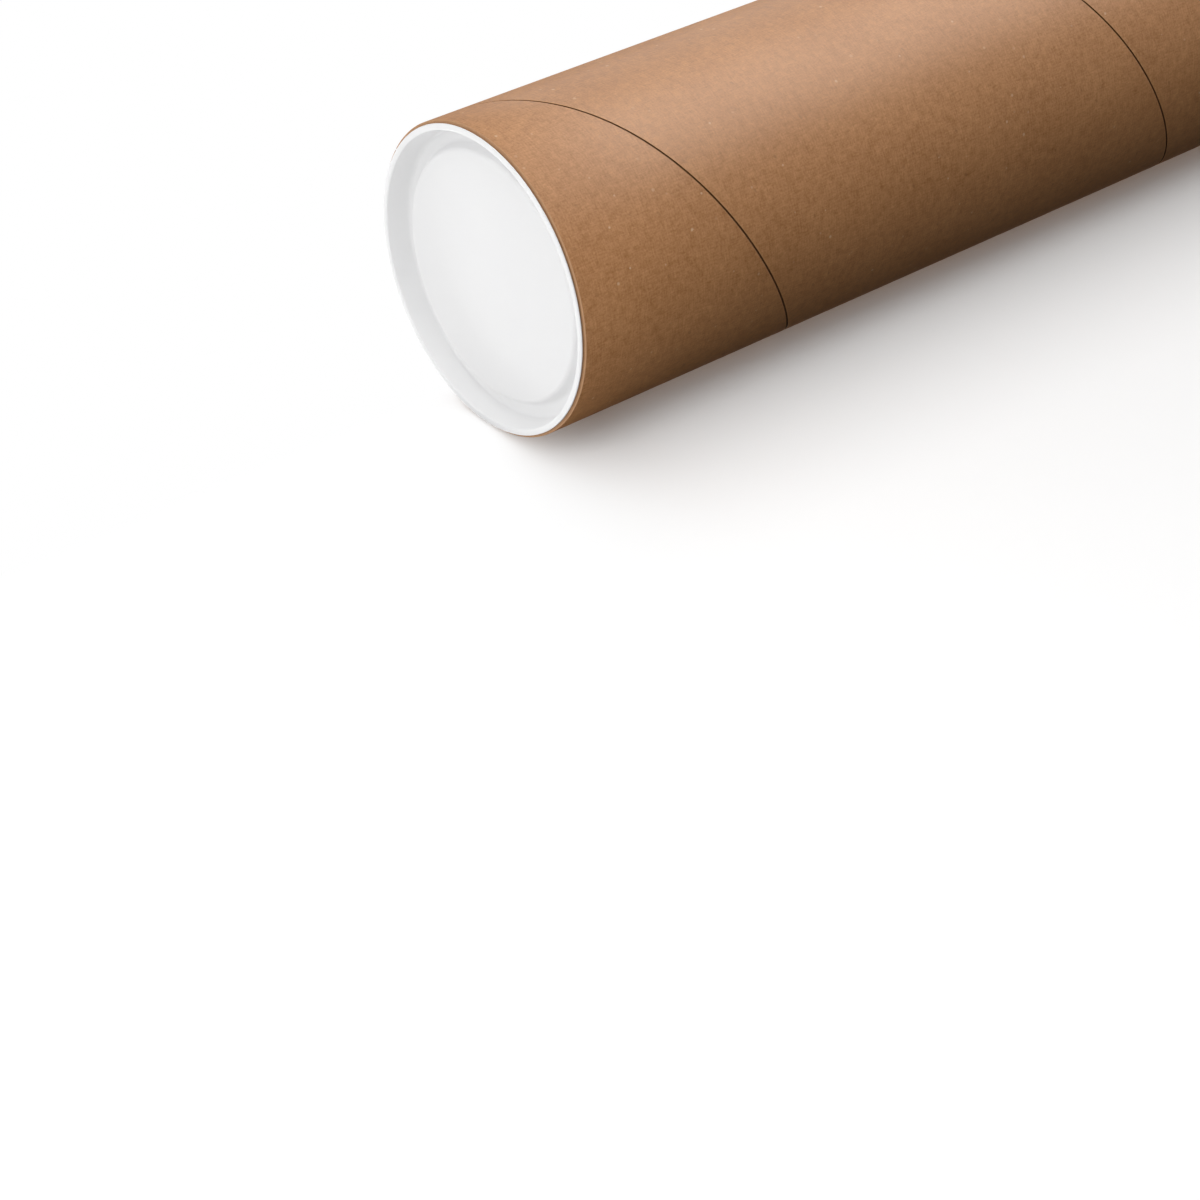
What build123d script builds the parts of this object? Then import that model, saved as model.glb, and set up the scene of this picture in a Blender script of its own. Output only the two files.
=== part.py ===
from build123d import *
import math
import os

# Wound tube, in millimetres
tube_length = 609.6         # cut length, end to end
bore_diameter = 76.2        # inside diameter
tube_wall = 1.52            # wall of glued paper plies

# Spiral seam, the gap between neighbouring turns of the outer ply's strip
seam_pitch = 136.6          # travel along the tube in one turn
seam_width = 0.5            # width of the gap
seam_depth = 0.35           # thickness of the outer ply
seam_angle = -31.5          # where the seam meets the top end, degrees from +X

# Plastic end cap, with depths measured from its rim face
rim_setback = 0.72          # step from the tube's outside in to the flange's edge
flange_thickness = 0.8      # rim face down to the seat on the tube's cut end
lip_thickness = 0.45        # edge of the flange, which stands clear of the cut end as a fine shadow gap
seat_width = 0.3            # flat ring of the flange that stops on the cut end
plug_clearance = 0.1        # radial gap between the plug and the bore
plug_taper = 0.5            # how far the plug narrows from the lip to its foot
mouth_wall = 0.7            # thickness of the plug's wall at its mouth
recess_draft = 0.8          # how far the recess narrows from the rim to its floor
channel_depth = 6.4         # floor of the ring channel
channel_width = 3.5         # flat floor between the wall and the raised panel
panel_slope = 1.2           # horizontal run of the raised panel's side
panel_depth = 3.4           # face of the raised panel
floor_wall = 1.0            # thickness of the panel and the channel's floor
rim_bevel = 0.2             # broken outer edge of the rim
panel_bevel = 0.4           # broken edge of the raised panel
lead_in = 1.0               # slope at the plug's foot that guides it into the bore

# Values worked out from the sizes above
bore_radius = bore_diameter / 2
tube_radius = bore_radius + tube_wall
tube_top = flange_thickness + tube_length
overall_height = tube_top + flange_thickness

rim_radius = tube_radius - rim_setback
seat_radius = bore_radius + seat_width
plug_radius = bore_radius - plug_clearance
plug_foot_radius = plug_radius - plug_taper
plug_depth = channel_depth + floor_wall
mouth_radius = plug_radius - mouth_wall
channel_radius = mouth_radius - recess_draft
panel_foot_radius = channel_radius - channel_width
panel_radius = panel_foot_radius - panel_slope
panel_under = panel_depth + floor_wall

# The panel's side keeps the floor's thickness, so its underside is the slope moved in square to itself
panel_rise = channel_depth - panel_depth
side_shift = floor_wall * (math.hypot(panel_slope, panel_rise) - panel_slope) / panel_rise
under_edge_radius = panel_radius - side_shift
under_foot_radius = panel_foot_radius - side_shift

# A lip or bevel stays inside the walls that carry it
lip_edge = min(lip_thickness, 0.6 * flange_thickness)
rim_edge = min(rim_bevel, 0.45 * lip_edge)
panel_edge = min(panel_bevel, 0.45 * panel_rise)
foot_edge = min(lead_in, 0.45 * plug_depth)

os.makedirs("parts", exist_ok=True)

# Wound tube: a plain pipe with the seam's gap cut along its helix
seam_overrun = 4 * seam_width
seam_height = tube_length + 2 * seam_overrun
seam_start = seam_angle - 360 * (tube_length + seam_overrun) / seam_pitch
seam_base = Plane.XY.offset(flange_thickness - seam_overrun).rotated((0, 0, seam_start))

with BuildPart() as tube:
    with BuildSketch(Plane.XY.offset(flange_thickness)):
        Circle(tube_radius)
        Circle(bore_radius, mode=Mode.SUBTRACT)
    extrude(amount=tube_length)
    with BuildLine(seam_base) as seam_line:
        Helix(pitch=seam_pitch, height=seam_height, radius=tube_radius)
    seam = seam_line.edge()
    outward = Vector((seam @ 0).X, (seam @ 0).Y, 0)
    with BuildSketch(Plane(origin=seam @ 0, x_dir=outward, z_dir=seam % 0)):
        Rectangle(2 * seam_depth, seam_width)
    sweep(path=seam, is_frenet=True, mode=Mode.SUBTRACT)
tube.part.label = "tube"
export_step(tube.part, "parts/tube.step")


# End cap: one revolved moulding, drawn with its rim face on the section's X axis
def end_cap(section, name):
    broken_corners = [
        ((panel_radius, -panel_depth), panel_edge),
        ((rim_radius, 0), rim_edge),
        ((plug_foot_radius, -plug_depth), foot_edge),
    ]
    with BuildPart() as cap:
        with BuildSketch(section) as profile:
            with BuildLine():
                Polyline(
                    (0, -panel_depth),
                    (panel_radius, -panel_depth),
                    (panel_foot_radius, -channel_depth),
                    (channel_radius, -channel_depth),
                    (mouth_radius, 0),
                    (rim_radius, 0),
                    (rim_radius, -lip_edge),
                    (seat_radius, -flange_thickness),
                    (plug_radius, -flange_thickness),
                    (plug_foot_radius, -plug_depth),
                    (under_foot_radius, -plug_depth),
                    (under_edge_radius, -panel_under),
                    (0, -panel_under),
                    close=True,
                )
            make_face()
            for corner, bevel in broken_corners:
                chamfer(profile.vertices().sort_by_distance(corner)[0], length=bevel)
        revolve(axis=Axis.Z)
    cap.part.label = name
    export_step(cap.part, f"parts/{name}.step")
    return cap.part


top_section = Plane(origin=(0, 0, overall_height), x_dir=(1, 0, 0), z_dir=(0, -1, 0))
bottom_section = Plane(origin=(0, 0, 0), x_dir=(1, 0, 0), z_dir=(0, 1, 0))
top_cap = end_cap(top_section, "top_cap")
bottom_cap = end_cap(bottom_section, "bottom_cap")
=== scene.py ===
import math

import bmesh
import bpy
from mathutils import Matrix, Vector


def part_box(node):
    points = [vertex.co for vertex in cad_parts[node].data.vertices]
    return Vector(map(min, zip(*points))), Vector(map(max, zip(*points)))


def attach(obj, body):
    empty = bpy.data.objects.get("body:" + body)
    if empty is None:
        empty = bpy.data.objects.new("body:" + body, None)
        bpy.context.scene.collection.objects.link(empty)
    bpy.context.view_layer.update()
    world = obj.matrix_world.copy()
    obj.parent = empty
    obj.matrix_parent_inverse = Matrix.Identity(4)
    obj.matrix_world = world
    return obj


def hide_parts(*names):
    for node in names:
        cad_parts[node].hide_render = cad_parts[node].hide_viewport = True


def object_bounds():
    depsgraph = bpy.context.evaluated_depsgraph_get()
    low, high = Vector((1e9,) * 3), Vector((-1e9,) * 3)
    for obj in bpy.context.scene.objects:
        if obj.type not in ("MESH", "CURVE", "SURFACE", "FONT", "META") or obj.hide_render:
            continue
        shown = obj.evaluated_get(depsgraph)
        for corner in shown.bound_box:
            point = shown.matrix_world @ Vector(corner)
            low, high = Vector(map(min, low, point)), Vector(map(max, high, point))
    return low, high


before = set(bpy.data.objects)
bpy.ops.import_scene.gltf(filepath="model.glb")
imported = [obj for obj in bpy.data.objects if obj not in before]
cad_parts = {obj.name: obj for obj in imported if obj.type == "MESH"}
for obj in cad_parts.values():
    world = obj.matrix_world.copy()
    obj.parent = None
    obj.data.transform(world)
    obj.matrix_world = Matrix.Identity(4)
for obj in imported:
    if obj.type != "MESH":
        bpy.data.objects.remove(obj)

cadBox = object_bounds()                     # the CAD model's own box, before anything is added
tubeLow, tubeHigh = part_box("tube")
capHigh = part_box("top_cap")[1]
outerRadius = tubeHigh.x
fullTurn = 2 * math.pi
touch = 1e-6                             # points closer than this count as one place
print("frame loaded:", ", ".join(sorted(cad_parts)))


# Small helpers for meshes

def ringRadius(point):
    return math.hypot(point.x, point.y)


def setRadius(vert, radius):
    scale = radius / ringRadius(vert.co)
    vert.co.x *= scale
    vert.co.y *= scale


def newVerts(geom):
    return [item for item in geom if isinstance(item, bmesh.types.BMVert)]


def newFaces(geom):
    return [item for item in geom if isinstance(item, bmesh.types.BMFace)]


def chain(bm, points, angle=0.0):       # an open wire of (radius, height) points, turned about Z
    verts = [bm.verts.new((r * math.cos(angle), r * math.sin(angle), z)) for r, z in points]
    edges = [bm.edges.new(pair) for pair in zip(verts, verts[1:])]
    return verts + edges


def addPiece(name, bm, materials, sharpAngle):
    mesh = bpy.data.meshes.new(name)
    for face in bm.faces:
        face.smooth = True
    bm.to_mesh(mesh)
    bm.free()
    mesh.set_sharp_from_angle(angle=math.radians(sharpAngle))
    for material in materials:
        mesh.materials.append(material)
    piece = bpy.data.objects.new(name, mesh)
    bpy.context.scene.collection.objects.link(piece)
    print("piece made:", name, len(mesh.polygons), "faces")
    return piece


# Small helpers for node trees

def addNode(tree, kind, **settings):
    node = tree.nodes.new(kind)
    for key, value in settings.items():
        setattr(node, key, value)
    return node


def feed(tree, socket, value):          # a socket takes a link or a plain value
    if isinstance(value, bpy.types.NodeSocket):
        tree.links.new(value, socket)
    else:
        socket.default_value = value


def calc(tree, operation, *values):
    node = addNode(tree, "ShaderNodeMath", operation=operation)
    for socket, value in zip(node.inputs, values):
        feed(tree, socket, value)
    return node.outputs[0]


def remap(tree, value, fromLow, fromHigh, toLow=0.0, toHigh=1.0, smooth=False):
    node = addNode(tree, "ShaderNodeMapRange", interpolation_type="SMOOTHSTEP" if smooth else "LINEAR")
    for socket, number in zip(node.inputs, (value, fromLow, fromHigh, toLow, toHigh)):
        feed(tree, socket, number)
    return node.outputs[0]


def mixColor(tree, factor, first, second):
    node = addNode(tree, "ShaderNodeMix", data_type="RGBA")
    feed(tree, node.inputs["Factor"], factor)
    feed(tree, node.inputs[6], first)    # 6, 7 and 2 are the node's colour sockets
    feed(tree, node.inputs[7], second)
    return node.outputs[2]


def noise(tree, vector, scale, detail=2.0, roughness=0.5, dimensions="3D"):
    node = addNode(tree, "ShaderNodeTexNoise", noise_dimensions=dimensions)
    feed(tree, node.inputs["Vector"], vector)
    node.inputs["Scale"].default_value = scale
    node.inputs["Detail"].default_value = detail
    node.inputs["Roughness"].default_value = roughness
    return node.outputs[0]


def stretch(tree, vector, scale):
    node = addNode(tree, "ShaderNodeVectorMath", operation="MULTIPLY")
    feed(tree, node.inputs[0], vector)
    node.inputs[1].default_value = scale
    return node.outputs[0]


def objectPoint(tree):
    return addNode(tree, "ShaderNodeTexCoord").outputs["Object"]


def newMaterial(name):
    material = bpy.data.materials.new(name)
    material.use_nodes = True
    tree = material.node_tree
    return material, tree, tree.nodes["Principled BSDF"]


def newGroup(name, inputs, outputs):
    tree = bpy.data.node_groups.new(name, "ShaderNodeTree")
    for socketName, kind in inputs:
        tree.interface.new_socket(socketName, in_out="INPUT", socket_type=kind)
    for socketName, kind in outputs:
        tree.interface.new_socket(socketName, in_out="OUTPUT", socket_type=kind)
    source = addNode(tree, "NodeGroupInput").outputs
    target = addNode(tree, "NodeGroupOutput").inputs
    return tree, source, target


def useGroup(tree, group, **values):
    node = addNode(tree, "ShaderNodeGroup", node_tree=group)
    for name, value in values.items():
        feed(tree, node.inputs[name], value)
    return node.outputs


def setFinish(tree, shader, color, tone, finish):        # the tone's middle values spread over the roughness
    tree.links.new(color, shader.inputs["Base Color"])
    tree.links.new(remap(tree, tone, 0.3, 0.7, *finish["roughness"]), shader.inputs["Roughness"])
    shader.inputs["Specular IOR Level"].default_value = finish["specular"]


def addBump(tree, shader, height, strength, distance):
    node = addNode(tree, "ShaderNodeBump")
    node.inputs["Strength"].default_value = strength
    node.inputs["Distance"].default_value = distance
    tree.links.new(height, node.inputs["Height"])
    tree.links.new(node.outputs["Normal"], shader.inputs["Normal"])


# Tube sizes, in metres

tube = {
    "wall": 0.00152,             # glued plies, outside to bore
    "innerPlies": 3,             # plies under the outer one
    "plyLine": 0.00003,          # fine groove between plies on the cut ends
    "seamPitch": 0.1366,         # travel of the winding in one turn
    "seamWidth": 0.0005,         # gap between neighbouring turns
    "seamDepth": 0.00035,        # the outer ply's thickness
    "seamTopAngle": -31.5,       # where the seam meets the top end, degrees from +X
    "seamLip": 0.00006,          # soft edge of the strip
    "endRound": 0.00014,         # soft edges of the cut ends
    "stepsPerTurn": 160,
    "sharpAngle": 35,            # degrees
    "boreSeamTurn": 0.37,        # share of a turn by which the bore's own seam is moved
}
boreRadius = outerRadius - tube["wall"]
seamTopAngle = math.radians(tube["seamTopAngle"])
seamLead = tube["seamPitch"] / fullTurn          # travel for each radian
innerPly = (tube["wall"] - tube["seamDepth"]) / tube["innerPlies"]       # thickness of one inner ply


# Paper: coordinates on the wound strip, and the fibres that show on it

pulp = {                         # a noise scale is about one over the size of its marks in metres
    "clumpScale": 420,
    "grainScale": 1900,
    "hairScale": 2300,
    "hairSquash": 0.14,          # draws the hairs out one way
    "cloudScale": 45,
    "clumpShare": 0.28,
    "grainShare": 0.32,
    "hairShare": 0.4,
    "cloudShare": 0.12,
    "toneRange": (0.36, 0.76),   # tones that show as the deep and the fair colour
    "pale": {"cell": 0.0034, "size": 0.0006, "chance": 0.08},
    "dark": {"cell": 0.0036, "size": 0.0006, "chance": 0.2},
    "paleShare": 0.8,
    "darkShare": 0.4,
    "darkSquash": 0.6,
    "leastFleck": 0.4,           # the smallest fleck, as a share of its size
    "fleckCore": 0.3,            # the share of a fleck that is fully coloured
}


def makeStripGroup():
    tree, source, target = newGroup(
        "windingStrip",
        [("Point", "NodeSocketVector"), ("Radius", "NodeSocketFloat"), ("Lead", "NodeSocketFloat"),
         ("TopHeight", "NodeSocketFloat"), ("TopAngle", "NodeSocketFloat")],
        [("Strip", "NodeSocketVector"), ("EdgeGap", "NodeSocketFloat")])
    axes = addNode(tree, "ShaderNodeSeparateXYZ")
    tree.links.new(source["Point"], axes.inputs[0])
    angle = calc(tree, "ARCTAN2", axes.outputs[1], axes.outputs[0])
    height = axes.outputs[2]
    rise = calc(tree, "DIVIDE", calc(tree, "SUBTRACT", height, source["TopHeight"]), source["Lead"])
    swept = calc(tree, "SUBTRACT", rise, calc(tree, "SUBTRACT", angle, source["TopAngle"]))
    turns = calc(tree, "DIVIDE", swept, fullTurn)
    turn = calc(tree, "FLOOR", turns)                    # which turn of the strip this is
    share = calc(tree, "SUBTRACT", turns, turn)          # how far across that turn
    wound = calc(tree, "MULTIPLY_ADD", turn, fullTurn, angle)
    slope = calc(tree, "ARCTAN2", source["Lead"], source["Radius"])
    flat = calc(tree, "COSINE", slope)
    around = calc(tree, "MULTIPLY", calc(tree, "MULTIPLY", wound, source["Radius"]), flat)
    along = calc(tree, "MULTIPLY_ADD", height, calc(tree, "SINE", slope), around)
    width = calc(tree, "MULTIPLY", calc(tree, "MULTIPLY", source["Lead"], fullTurn), flat)
    across = calc(tree, "MULTIPLY", share, width)
    joined = addNode(tree, "ShaderNodeCombineXYZ")
    feed(tree, joined.inputs[0], along)
    feed(tree, joined.inputs[1], across)
    tree.links.new(joined.outputs[0], target["Strip"])
    nearEdge = calc(tree, "MINIMUM", share, calc(tree, "SUBTRACT", 1.0, share))
    tree.links.new(calc(tree, "MULTIPLY", nearEdge, width), target["EdgeGap"])
    return tree


def makeFleckMask(tree, vector, cell, size, chance):     # sparse soft dots, one to a cell at most
    least = pulp["leastFleck"] * size / cell
    node = addNode(tree, "ShaderNodeTexVoronoi", voronoi_dimensions="2D")
    feed(tree, node.inputs["Vector"], vector)
    node.inputs["Scale"].default_value = 1 / cell
    pick = addNode(tree, "ShaderNodeSeparateColor")
    tree.links.new(node.outputs["Color"], pick.inputs[0])
    chosen = calc(tree, "LESS_THAN", pick.outputs[0], chance)
    reach = calc(tree, "MULTIPLY_ADD", pick.outputs[1], size / cell - least, least)
    away = calc(tree, "DIVIDE", node.outputs["Distance"], reach)
    dot = remap(tree, away, pulp["fleckCore"], 1.0, 1.0, 0.0, smooth=True)
    return calc(tree, "MULTIPLY", calc(tree, "MULTIPLY", dot, chosen), pick.outputs[2])


def makeFibreGroup():
    tree, source, target = newGroup(
        "paperFibres",
        [("Strip", "NodeSocketVector")],
        [("Tone", "NodeSocketFloat"), ("Cloud", "NodeSocketFloat"), ("Pale", "NodeSocketFloat"),
         ("Dark", "NodeSocketFloat"), ("Height", "NodeSocketFloat")])
    strip = source["Strip"]
    turned = addNode(tree, "ShaderNodeVectorRotate", rotation_type="Z_AXIS")     # square to the tube's axis
    tree.links.new(strip, turned.inputs["Vector"])
    turned.inputs["Angle"].default_value = math.atan2(seamLead, outerRadius)
    squared = turned.outputs[0]
    squash = pulp["hairSquash"]
    clumps = noise(tree, strip, pulp["clumpScale"], 2.0, 0.6, "2D")
    grain = noise(tree, strip, pulp["grainScale"], 2.0, 0.6, "2D")
    around = noise(tree, stretch(tree, squared, (squash, 1.0, 1.0)), pulp["hairScale"], 1.0, 0.5, "2D")
    along = noise(tree, stretch(tree, squared, (1.0, squash, 1.0)), pulp["hairScale"], 1.0, 0.5, "2D")
    hairs = calc(tree, "MULTIPLY_ADD", around, 0.5, calc(tree, "MULTIPLY", along, 0.5))
    tone = calc(tree, "MULTIPLY", grain, pulp["grainShare"])
    tone = calc(tree, "MULTIPLY_ADD", clumps, pulp["clumpShare"], tone)
    tone = calc(tree, "MULTIPLY_ADD", hairs, pulp["hairShare"], tone)
    tree.links.new(tone, target["Tone"])
    tree.links.new(noise(tree, strip, pulp["cloudScale"], 2.0, 0.5, "2D"), target["Cloud"])
    tree.links.new(makeFleckMask(tree, strip, **pulp["pale"]), target["Pale"])
    darkStrip = stretch(tree, strip, (pulp["darkSquash"], 1.0, 1.0))
    tree.links.new(makeFleckMask(tree, darkStrip, **pulp["dark"]), target["Dark"])
    tree.links.new(calc(tree, "MULTIPLY_ADD", hairs, 0.5, grain), target["Height"])
    return tree


paperStrip = makeStripGroup()
paperFibres = makeFibreGroup()

kraft = {
    "deep": (0.297, 0.1255, 0.041, 1),
    "fair": (0.535, 0.2685, 0.116, 1),
    "paleFleck": (0.62, 0.43, 0.27, 1),
    "darkFleck": (0.17, 0.075, 0.03, 1),
    # dark brown of the seam: the joint's own colour and painted shade in its gap
    "seamJointAndShade": (0.11, 0.052, 0.023, 1),
    "cutDeep": (0.42, 0.225, 0.11, 1),
    "cutFair": (0.54, 0.32, 0.18, 1),
    "outside": {"roughness": (0.44, 0.56), "specular": 0.3},
    "seam": {"roughness": (0.8, 0.95), "specular": 0.1},
    "cut": {"roughness": (0.75, 0.9), "specular": 0.2},
    "bore": {"roughness": (0.68, 0.8), "specular": 0.3},
    "outsideBump": 0.12,
    "cutBump": 0.3,
    "boreBump": 0.15,
    "bumpDepth": 0.0002,
    "highlightReach": 1.6,           # how far the painted highlight along the strip's edges reaches, in seam widths from its middle
    "highlightShare": 0.35,
    "boreLine": (0.3, 0.6),      # where the bore's seam starts to fade and ends, in seam widths
    "boreLineShare": 0.8,
    "seamScale": 1500,
    "seamDull": 0.6,
    "fuzzScale": 1400,           # torn fibres on the cut ends
    "fuzzShare": 0.7,
    "plyShare": 0.7,
    "plyWaver": 0.35,            # how far the plies wander, in plies
}


def paintPaper(tree, radius, topAngle):
    outputs = useGroup(tree, paperStrip, Point=objectPoint(tree), Radius=radius, Lead=seamLead,
                       TopHeight=tubeHigh.z, TopAngle=topAngle)
    fibres = useGroup(tree, paperFibres, Strip=outputs["Strip"])
    tone = calc(tree, "MULTIPLY_ADD", fibres["Cloud"], pulp["cloudShare"], fibres["Tone"])
    color = mixColor(tree, remap(tree, tone, *pulp["toneRange"]), kraft["deep"], kraft["fair"])
    dark = calc(tree, "MULTIPLY", fibres["Dark"], pulp["darkShare"])
    color = mixColor(tree, dark, color, kraft["darkFleck"])
    pale = calc(tree, "MULTIPLY", fibres["Pale"], pulp["paleShare"])
    color = mixColor(tree, pale, color, kraft["paleFleck"])
    return color, fibres, outputs["EdgeGap"]


def makeKraftMaterial():
    material, tree, shader = newMaterial("kraftPaper")
    color, fibres, edgeGap = paintPaper(tree, outerRadius, seamTopAngle)
    width = tube["seamWidth"]
    # painted highlight: the paper turns toward the fair colour along both edges of the strip
    edgeHighlight = remap(tree, edgeGap, 0.5 * width, kraft["highlightReach"] * width, kraft["highlightShare"], 0.0,
                  smooth=True)
    setFinish(tree, shader, mixColor(tree, edgeHighlight, color, kraft["fair"]), fibres["Tone"], kraft["outside"])
    addBump(tree, shader, fibres["Height"], kraft["outsideBump"], kraft["bumpDepth"])
    return material


def makeSeamMaterial():
    material, tree, shader = newMaterial("seamGap")
    fine = noise(tree, objectPoint(tree), kraft["seamScale"], 2.0)
    # the gap's faces are painted dark, partly the joint's own colour and partly painted shade in the groove
    color = mixColor(tree, fine, kraft["seamJointAndShade"], kraft["darkFleck"])
    color = mixColor(tree, kraft["seamDull"], color, kraft["seamJointAndShade"])
    setFinish(tree, shader, color, fine, kraft["seam"])
    return material


def makeCutMaterial():
    material, tree, shader = newMaterial("cutPaperEdge")
    point = objectPoint(tree)
    axes = addNode(tree, "ShaderNodeSeparateXYZ")
    tree.links.new(point, axes.inputs[0])
    across = calc(tree, "SQRT", calc(tree, "MULTIPLY_ADD", axes.outputs[0], axes.outputs[0],
                                     calc(tree, "MULTIPLY", axes.outputs[1], axes.outputs[1])))
    fuzz = noise(tree, point, kraft["fuzzScale"], 3.0, 0.65)
    phase = calc(tree, "DIVIDE", calc(tree, "SUBTRACT", across, boreRadius), innerPly)
    band = calc(tree, "PINGPONG", calc(tree, "MULTIPLY_ADD", fuzz, kraft["plyWaver"], phase), 0.5)
    tone = calc(tree, "MULTIPLY", fuzz, kraft["fuzzShare"])
    tone = calc(tree, "MULTIPLY_ADD", band, kraft["plyShare"], tone)
    setFinish(tree, shader, mixColor(tree, tone, kraft["cutDeep"], kraft["cutFair"]), fuzz, kraft["cut"])
    addBump(tree, shader, fuzz, kraft["cutBump"], kraft["bumpDepth"])
    return material


def makeBoreMaterial():
    material, tree, shader = newMaterial("borePaper")
    boreAngle = seamTopAngle + tube["boreSeamTurn"] * fullTurn
    color, fibres, edgeGap = paintPaper(tree, boreRadius, boreAngle)
    inner, outer = (share * tube["seamWidth"] for share in kraft["boreLine"])
    # the bore's seam is a painted dark line with no groove under it, the joint's colour and painted shade in
    # its gap
    seam = remap(tree, edgeGap, inner, outer, kraft["boreLineShare"], 0.0, smooth=True)
    setFinish(tree, shader, mixColor(tree, seam, color, kraft["seamJointAndShade"]), fibres["Tone"], kraft["bore"])
    addBump(tree, shader, fibres["Height"], kraft["boreBump"], kraft["bumpDepth"])
    return material


# Wound tube: one strip profile, screwed round the axis so that its folded edges meet as the seam's gap

def screwStrip(bm):
    pitch, depth, lip = tube["seamPitch"], tube["seamDepth"], tube["seamLip"]
    slope = math.atan2(seamLead, outerRadius)
    halfGap = 0.5 * tube["seamWidth"] / math.cos(slope)      # measured along the axis
    turns = math.ceil((tubeHigh.z - tubeLow.z) / pitch) + 2
    start = tubeHigh.z - (turns - 1) * pitch
    profile = [(outerRadius - depth, 0), (outerRadius - depth, halfGap),
               (outerRadius - lip, halfGap), (outerRadius, halfGap + lip)]
    profile += [(r, pitch - z) for r, z in reversed(profile)]
    geom = chain(bm, [(r, start + z) for r, z in profile], seamTopAngle)
    steps = tube["stepsPerTurn"]
    bmesh.ops.spin(bm, geom=geom, cent=(0, 0, 0), axis=(0, 0, 1), dvec=(0, 0, pitch / steps),
                   angle=turns * fullTurn, steps=turns * steps, use_merge=False)
    bmesh.ops.remove_doubles(bm, verts=bm.verts, dist=0.2 * lip)         # joins each turn to the next
    for face in bm.faces:
        if ringRadius(face.calc_center_median()) < outerRadius - lip:
            face.material_index = 1      # the seam's gap


def trimStrip(bm, height, up):          # up is 1 at the top end and -1 at the bottom end
    bmesh.ops.bisect_plane(bm, geom=bm.verts[:] + bm.edges[:] + bm.faces[:], dist=0.1 * touch,
                           plane_co=(0, 0, height), plane_no=(0, 0, up), clear_outer=True)
    return [edge for edge in bm.edges
            if edge.is_boundary and all(abs(v.co.z - height) < touch for v in edge.verts)]


def closeEnd(bm, ring, height, up):     # rolls the cut edge over and lays the plies in as fine rings
    soft, line = tube["endRound"], tube["plyLine"]
    half = 0.3 * soft                    # inset half way round a soft edge
    rings = [(outerRadius - half, half), (outerRadius - soft, 0)]
    for count in range(tube["innerPlies"], 0, -1):
        joint = boreRadius + count * innerPly
        rings += [(joint + line, 0), (joint, line), (joint - line, 0)]
    rings += [(boreRadius + soft, 0), (boreRadius + half, half), (boreRadius, soft)]
    for radius, drop in rings:
        grown = bmesh.ops.extrude_edge_only(bm, edges=ring)["geom"]
        verts = newVerts(grown)
        for vert in verts:
            setRadius(vert, min(radius, ringRadius(vert.co) - 0.1 * line))       # always inside the last ring
            vert.co.z = height - up * drop
        for face in newFaces(grown):
            face.material_index = 2      # the cut end
        added = set(verts)
        ring = [edge for vert in verts for edge in vert.link_edges if set(edge.verts) <= added]
        ring = list(dict.fromkeys(ring))
    return ring


def buildTube():
    bm = bmesh.new()
    screwStrip(bm)
    soft = tube["endRound"]
    rims = []
    for height, up in ((tubeHigh.z, 1), (tubeLow.z, -1)):
        ring = trimStrip(bm, height - up * soft, up)
        rims += closeEnd(bm, ring, height, up)
    bore = bmesh.ops.bridge_loops(bm, edges=rims)
    for face in bore["faces"]:
        face.material_index = 3          # the bore
    bmesh.ops.recalc_face_normals(bm, faces=bm.faces)
    materials = [makeKraftMaterial(), makeSeamMaterial(), makeCutMaterial(), makeBoreMaterial()]
    return addPiece("woundTube", bm, materials, tube["sharpAngle"])


# End cap, with depths measured from its rim face

cap = {
    "flange": tubeLow.z,         # rim face down to the seat on the tube's cut end
    "lip": 0.00036,              # edge of the flange, clear of the cut end
    "seatWidth": 0.0001,         # flat ring that stops on the cut end
    "plugGap": 0.0001,           # between the plug and the bore
    "plugTaper": 0.0005,
    "mouthWall": 0.0007,
    "recessDraft": 0.0008,
    "channelDepth": 0.0064,
    "channelWidth": 0.0035,
    "panelSlope": 0.0012,
    "panelDepth": 0.0034,
    "floorWall": 0.001,
    "rimRound": 0.0002,
    "mouthRound": 0.0003,
    "lipRound": 0.0001,
    "panelRound": 0.0008,
    "channelRound": 0.0009,
    "footRound": 0.0009,
    "stepsPerTurn": 160,
    "roundSteps": 4,
    "sharpAngle": 30,            # degrees
}

plastic = {
    "white": (0.84, 0.84, 0.84, 1),
    "shade": (0.82, 0.82, 0.825, 1),
    "hazeScale": 60,
    "fineScale": 2600,
    "finish": {"roughness": (0.42, 0.52), "specular": 0.4},
    "bump": 0.05,
    "bumpDepth": 0.0001,
}


def capCorners():                        # (radius, depth, round) from the panel's centre out and back under
    plug = boreRadius - cap["plugGap"]
    mouth = plug - cap["mouthWall"]
    channel = mouth - cap["recessDraft"]
    panelFoot = channel - cap["channelWidth"]
    panel = panelFoot - cap["panelSlope"]
    foot = cap["channelDepth"] + cap["floorWall"]
    under = cap["panelDepth"] + cap["floorWall"]
    rise = cap["channelDepth"] - cap["panelDepth"]
    shift = cap["floorWall"] * (math.hypot(cap["panelSlope"], rise) - cap["panelSlope"]) / rise
    return [
        (0, cap["panelDepth"], 0),
        (panel, cap["panelDepth"], cap["panelRound"]),
        (panelFoot, cap["channelDepth"], cap["channelRound"]),
        (channel, cap["channelDepth"], cap["channelRound"]),
        (mouth, 0, cap["mouthRound"]),
        (capHigh.x, 0, cap["rimRound"]),
        (capHigh.x, cap["lip"], cap["lipRound"]),
        (boreRadius + cap["seatWidth"], cap["lip"], 0),
        (boreRadius + cap["seatWidth"], cap["flange"], 0),
        (plug, cap["flange"], 0),
        (plug - cap["plugTaper"], foot, cap["footRound"]),
        (panelFoot - shift, foot, cap["panelRound"]),
        (panel - shift, under, cap["panelRound"]),
        (0, under, 0),
    ]


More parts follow.
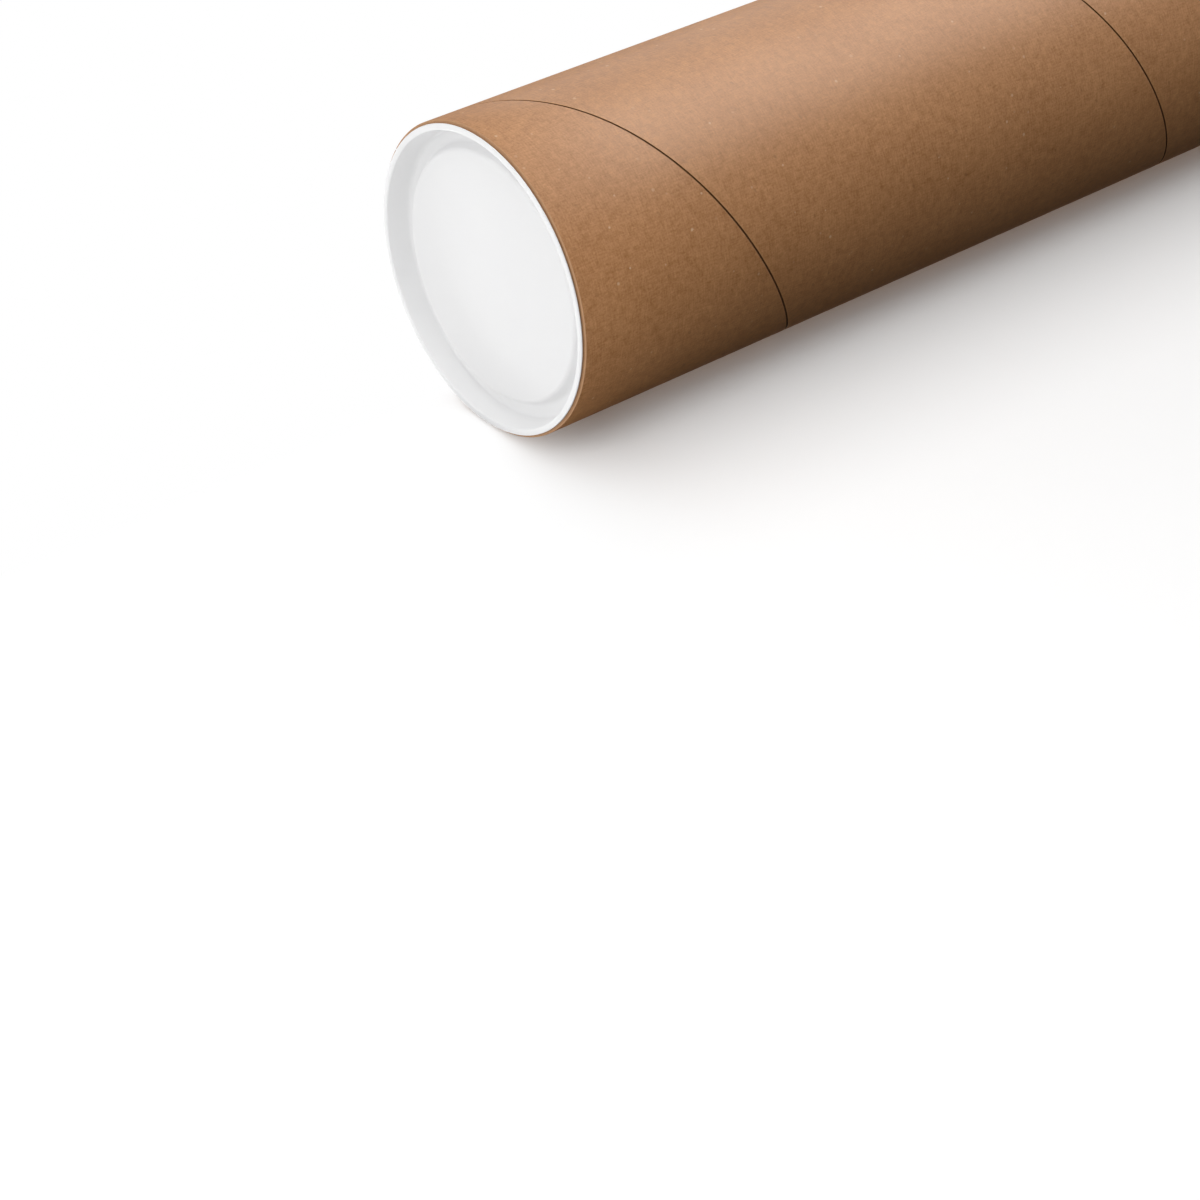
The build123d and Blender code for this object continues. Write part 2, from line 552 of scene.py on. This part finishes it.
def roundRing(bm, radius, height, size):
    def onRing(vert):
        return abs(ringRadius(vert.co) - radius) < touch and abs(vert.co.z - height) < touch
    ring = [edge for edge in bm.edges if all(onRing(vert) for vert in edge.verts)]
    bmesh.ops.bevel(bm, geom=ring, offset=size, offset_type="OFFSET", affect="EDGES",
                    segments=cap["roundSteps"], profile=0.5, material=-1, clamp_overlap=True)


def buildCap(name, rimHeight, upsideDown, material):
    bm = bmesh.new()
    corners = capCorners()
    geom = chain(bm, [(r, -depth) for r, depth, size in corners])
    bmesh.ops.spin(bm, geom=geom, cent=(0, 0, 0), axis=(0, 0, 1), angle=fullTurn,
                   steps=cap["stepsPerTurn"], use_merge=True)
    bmesh.ops.remove_doubles(bm, verts=bm.verts, dist=touch)
    bmesh.ops.recalc_face_normals(bm, faces=bm.faces)
    for r, depth, size in corners:
        if size:
            roundRing(bm, r, -depth, size)
    if upsideDown:
        bmesh.ops.rotate(bm, verts=bm.verts, cent=(0, 0, 0), matrix=Matrix.Rotation(math.pi, 3, "X"))
    bmesh.ops.translate(bm, verts=bm.verts, vec=(0, 0, rimHeight))
    return addPiece(name, bm, [material], cap["sharpAngle"])


def makePlasticMaterial():
    material, tree, shader = newMaterial("whitePlastic")
    point = objectPoint(tree)
    haze = noise(tree, point, plastic["hazeScale"], 2.0)
    fine = noise(tree, point, plastic["fineScale"], 2.0, 0.6)
    color = mixColor(tree, haze, plastic["white"], plastic["shade"])
    setFinish(tree, shader, color, fine, plastic["finish"])
    addBump(tree, shader, fine, plastic["bump"], plastic["bumpDepth"])
    return material


woundTube = buildTube()
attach(woundTube, "tube")
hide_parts("tube")

whitePlastic = makePlasticMaterial()
for nodeName, pieceName, rimHeight, upsideDown in (
        ("top_cap", "topCapMoulding", capHigh.z, False),
        ("bottom_cap", "bottomCapMoulding", cadBox[0].z, True)):
    piece = buildCap(pieceName, rimHeight, upsideDown, whitePlastic)
    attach(piece, nodeName)
    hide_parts(nodeName)


# Stage: the tube lies along a white floor, whose upward side faces -Y

stage = {
    "floorHeight": outerRadius,          # along +Y, touching the tube's side
    "floorReach": 1.6,
    "fadeStart": 1.0,                    # the floor fades out between these distances
    "fadeEnd": 1.5,
    "sharpAngle": 30,                    # degrees
    "white": (1, 1, 1, 1),
    "floorWhite": (0.85, 0.85, 0.85, 1),
    "bounce": (0.03, 0.03, 0.03, 1),     # what the floor beside the tube gives back, painted dark as shade
    "aheadWhite": (0.75, 0.75, 0.75, 1), # what the floor in front of the cap gives back
    "aheadReach": 0.006,
    "floorGloss": 0.015,                 # how much of the white floor shows in the sheen
    "ambient": 0.03,
    # painted light: over these reaches a glow paints the floor plain white for the camera and hides its
    # shadow
    "farReach": 0.018,                   # past the tube the camera sees the floor as plain white
    "footReach": 0.3,                    # and past its lower end, which the photograph leaves out
    "frontReach": 0.025,                 # round the cap's face the shadow is painted paler
    "frontShare": 0.65,
}
floorMiddle = (0, stage["floorHeight"], 0.5 * cadBox[1].z)


def shownRay(tree, path, gloss):         # rays on which the background is white
    seen = calc(tree, "MAXIMUM", path.outputs["Is Camera Ray"], path.outputs["Is Transmission Ray"])
    return calc(tree, "MULTIPLY_ADD", path.outputs["Is Glossy Ray"], gloss, seen)


def mixShader(tree, factor, first, second):
    node = addNode(tree, "ShaderNodeMixShader")
    for socket, source in zip(node.inputs, (factor, first, second)):
        tree.links.new(source, socket)
    return node.outputs[0]


def whiteShare(tree, axes):              # how much painted plain white the camera sees over the floor's own shade and shadow
    rim, reach = cadBox[1].z, stage["frontReach"]
    far = remap(tree, axes.outputs[0], 0.0, stage["farReach"], smooth=True)
    foot = remap(tree, axes.outputs[2], 0.0, -stage["footReach"], smooth=True)
    front = remap(tree, axes.outputs[2], rim - reach, rim + reach, 0.0, stage["frontShare"], smooth=True)
    return calc(tree, "MAXIMUM", calc(tree, "MAXIMUM", far, foot), front)


def fadedShare(tree, point, path):       # the floor is clear far out, from below and for shadows
    offset = addNode(tree, "ShaderNodeVectorMath", operation="SUBTRACT")
    tree.links.new(point, offset.inputs[0])
    offset.inputs[1].default_value = floorMiddle
    away = addNode(tree, "ShaderNodeVectorMath", operation="LENGTH")
    tree.links.new(offset.outputs[0], away.inputs[0])
    faded = remap(tree, away.outputs["Value"], stage["fadeStart"], stage["fadeEnd"], smooth=True)
    behind = addNode(tree, "ShaderNodeNewGeometry").outputs["Backfacing"]
    return calc(tree, "MAXIMUM", faded, calc(tree, "MAXIMUM", behind, path.outputs["Is Shadow Ray"]))


def makeFloorMaterial():
    material = bpy.data.materials.new("paleFloor")
    material.use_nodes = True
    tree = material.node_tree
    tree.nodes.clear()
    path = addNode(tree, "ShaderNodeLightPath")
    point = objectPoint(tree)
    axes = addNode(tree, "ShaderNodeSeparateXYZ")
    tree.links.new(point, axes.inputs[0])
    # painted shade: for bounced light the floor is dark beside the tube and pale in front of the cap
    ahead = remap(tree, axes.outputs[2], cadBox[1].z, cadBox[1].z + stage["aheadReach"], smooth=True)
    bounce = mixColor(tree, ahead, stage["bounce"], stage["aheadWhite"])
    seen = shownRay(tree, path, stage["floorGloss"])
    matte = addNode(tree, "ShaderNodeBsdfDiffuse")
    feed(tree, matte.inputs["Color"], mixColor(tree, seen, bounce, stage["floorWhite"]))
    # painted light: on camera rays this glow paints the floor plain white over its shadow
    glow = addNode(tree, "ShaderNodeEmission")
    glow.inputs["Color"].default_value = stage["white"]
    shown = calc(tree, "MULTIPLY", whiteShare(tree, axes), path.outputs["Is Camera Ray"])
    surface = mixShader(tree, shown, matte.outputs[0], glow.outputs[0])
    clear = addNode(tree, "ShaderNodeBsdfTransparent")
    surface = mixShader(tree, fadedShare(tree, point, path), surface, clear.outputs[0])
    output = addNode(tree, "ShaderNodeOutputMaterial")
    tree.links.new(surface, output.inputs["Surface"])
    return material


def buildFloor():
    bm = bmesh.new()
    bmesh.ops.create_grid(bm, x_segments=1, y_segments=1, size=stage["floorReach"])
    bmesh.ops.rotate(bm, verts=bm.verts, cent=(0, 0, 0), matrix=Matrix.Rotation(math.pi / 2, 3, "X"))
    bmesh.ops.translate(bm, verts=bm.verts, vec=floorMiddle)
    floor = addPiece("paleFloor", bm, [makeFloorMaterial()], stage["sharpAngle"])
    return floor


def buildWorld():
    world = bpy.data.worlds.new("paleRoom")
    bpy.context.scene.world = world
    world.use_nodes = True
    tree = world.node_tree
    background = tree.nodes["Background"]
    background.inputs["Color"].default_value = stage["white"]
    seen = shownRay(tree, addNode(tree, "ShaderNodeLightPath"), 1.0)
    tree.links.new(remap(tree, seen, 0, 1, stage["ambient"], 1), background.inputs["Strength"])


paleFloor = buildFloor()
buildWorld()
print("stage made")


# Lamps: the level is how bright a white sheet that faces the lamp renders

aimDrop = 0.1                            # the lamps aim this far below the upper rim
aimPoint = Vector((0, 0, cadBox[1].z - aimDrop))
lamps = {
    "topLamp": {"toward": (0.0, -1.0, 0.0), "distance": 1.4, "size": (2.2, 2.2), "level": 0.98},
    "frontLamp": {"toward": (0.0, -0.6, 0.8), "distance": 1.3, "size": (3.0, 2.2), "level": 0.45},
    "sideLamp": {"toward": (-0.7, -0.7, 0.1), "distance": 1.4, "size": (1.6, 2.0), "level": 0.17},
    "faceLamp": {"toward": (0.0, -0.2, 0.98), "distance": 1.4, "size": (2.4, 1.6), "level": 0.585},
    "farLamp": {"toward": (0.75, -0.6, 0.0), "distance": 1.4, "size": (1.6, 2.0), "level": 0.07},
    "sheenLamp": {"toward": (0.0, -0.8, -0.58), "distance": 1.3, "size": (1.2, 0.4), "level": 1.0,
                  "only": "gloss"},
    "edgeLamp": {"toward": (0.65, -0.5, -0.58), "distance": 1.3, "size": (1.2, 0.4), "level": 0.135,
                 "only": "gloss"},
    "floorLamp": {"toward": (-0.5, -0.55, 0.67), "distance": 1.6, "size": (1.3, 1.3), "level": 0.57,
                  "only": "floor"},
    "backLamp": {"toward": (0.74, 0.67, 0.0), "distance": 1.6, "size": (0.8, 0.8), "level": 0.8},
    "endLamp": {"toward": (0.32, 0.15, -0.94), "distance": 1.4, "size": (0.8, 0.8), "level": 0.42},
}


def addLamp(name, lamp):
    light = bpy.data.lights.new(name, "AREA")
    light.shape = "RECTANGLE"
    light.size, light.size_y = lamp["size"]
    light.energy = lamp["level"] * (math.pi * lamp["distance"]) ** 2
    holder = bpy.data.objects.new(name, light)
    toward = Vector(lamp["toward"]).normalized()
    holder.location = aimPoint + toward * lamp["distance"]
    holder.rotation_mode = "QUATERNION"
    holder.rotation_quaternion = toward.to_track_quat("Z", "Y")
    holder.visible_camera = False
    if lamp.get("only") == "gloss":      # a reflector that shows in the sheen alone
        holder.visible_diffuse = False
    if lamp.get("only") == "floor":
        lit = bpy.data.collections.new(name + "Lit")
        lit.objects.link(paleFloor)
        holder.light_linking.receiver_collection = lit
    bpy.context.scene.collection.objects.link(holder)


for lampName, lampValues in lamps.items():
    addLamp(lampName, lampValues)
print("lamps made:", ", ".join(lamps))


# Camera: above the lying tube, so its upward side is -Y

camera = {
    "place": (-0.4937, -0.3684, 0.9771),
    "aim": (-0.0747, 0.0396, 0.6345),
    "upward": (0, -1, 0),
    "roll": 0.4,                 # degrees
    "lens": 89.92,
    "sensor": 36.0,
}


def addCamera():
    data = bpy.data.cameras.new("productCamera")
    data.lens = camera["lens"]
    data.sensor_width = camera["sensor"]
    holder = bpy.data.objects.new("productCamera", data)
    back = (Vector(camera["place"]) - Vector(camera["aim"])).normalized()
    side = Vector(camera["upward"]).cross(back).normalized()
    turned = Matrix((side, back.cross(side), back)).transposed()
    turned = turned @ Matrix.Rotation(math.radians(camera["roll"]), 3, "Z")
    holder.matrix_world = Matrix.Translation(camera["place"]) @ turned.to_4x4()
    bpy.context.scene.collection.objects.link(holder)
    bpy.context.scene.camera = holder


addCamera()
bpy.context.scene.view_settings.view_transform = "Standard"
print("camera made")
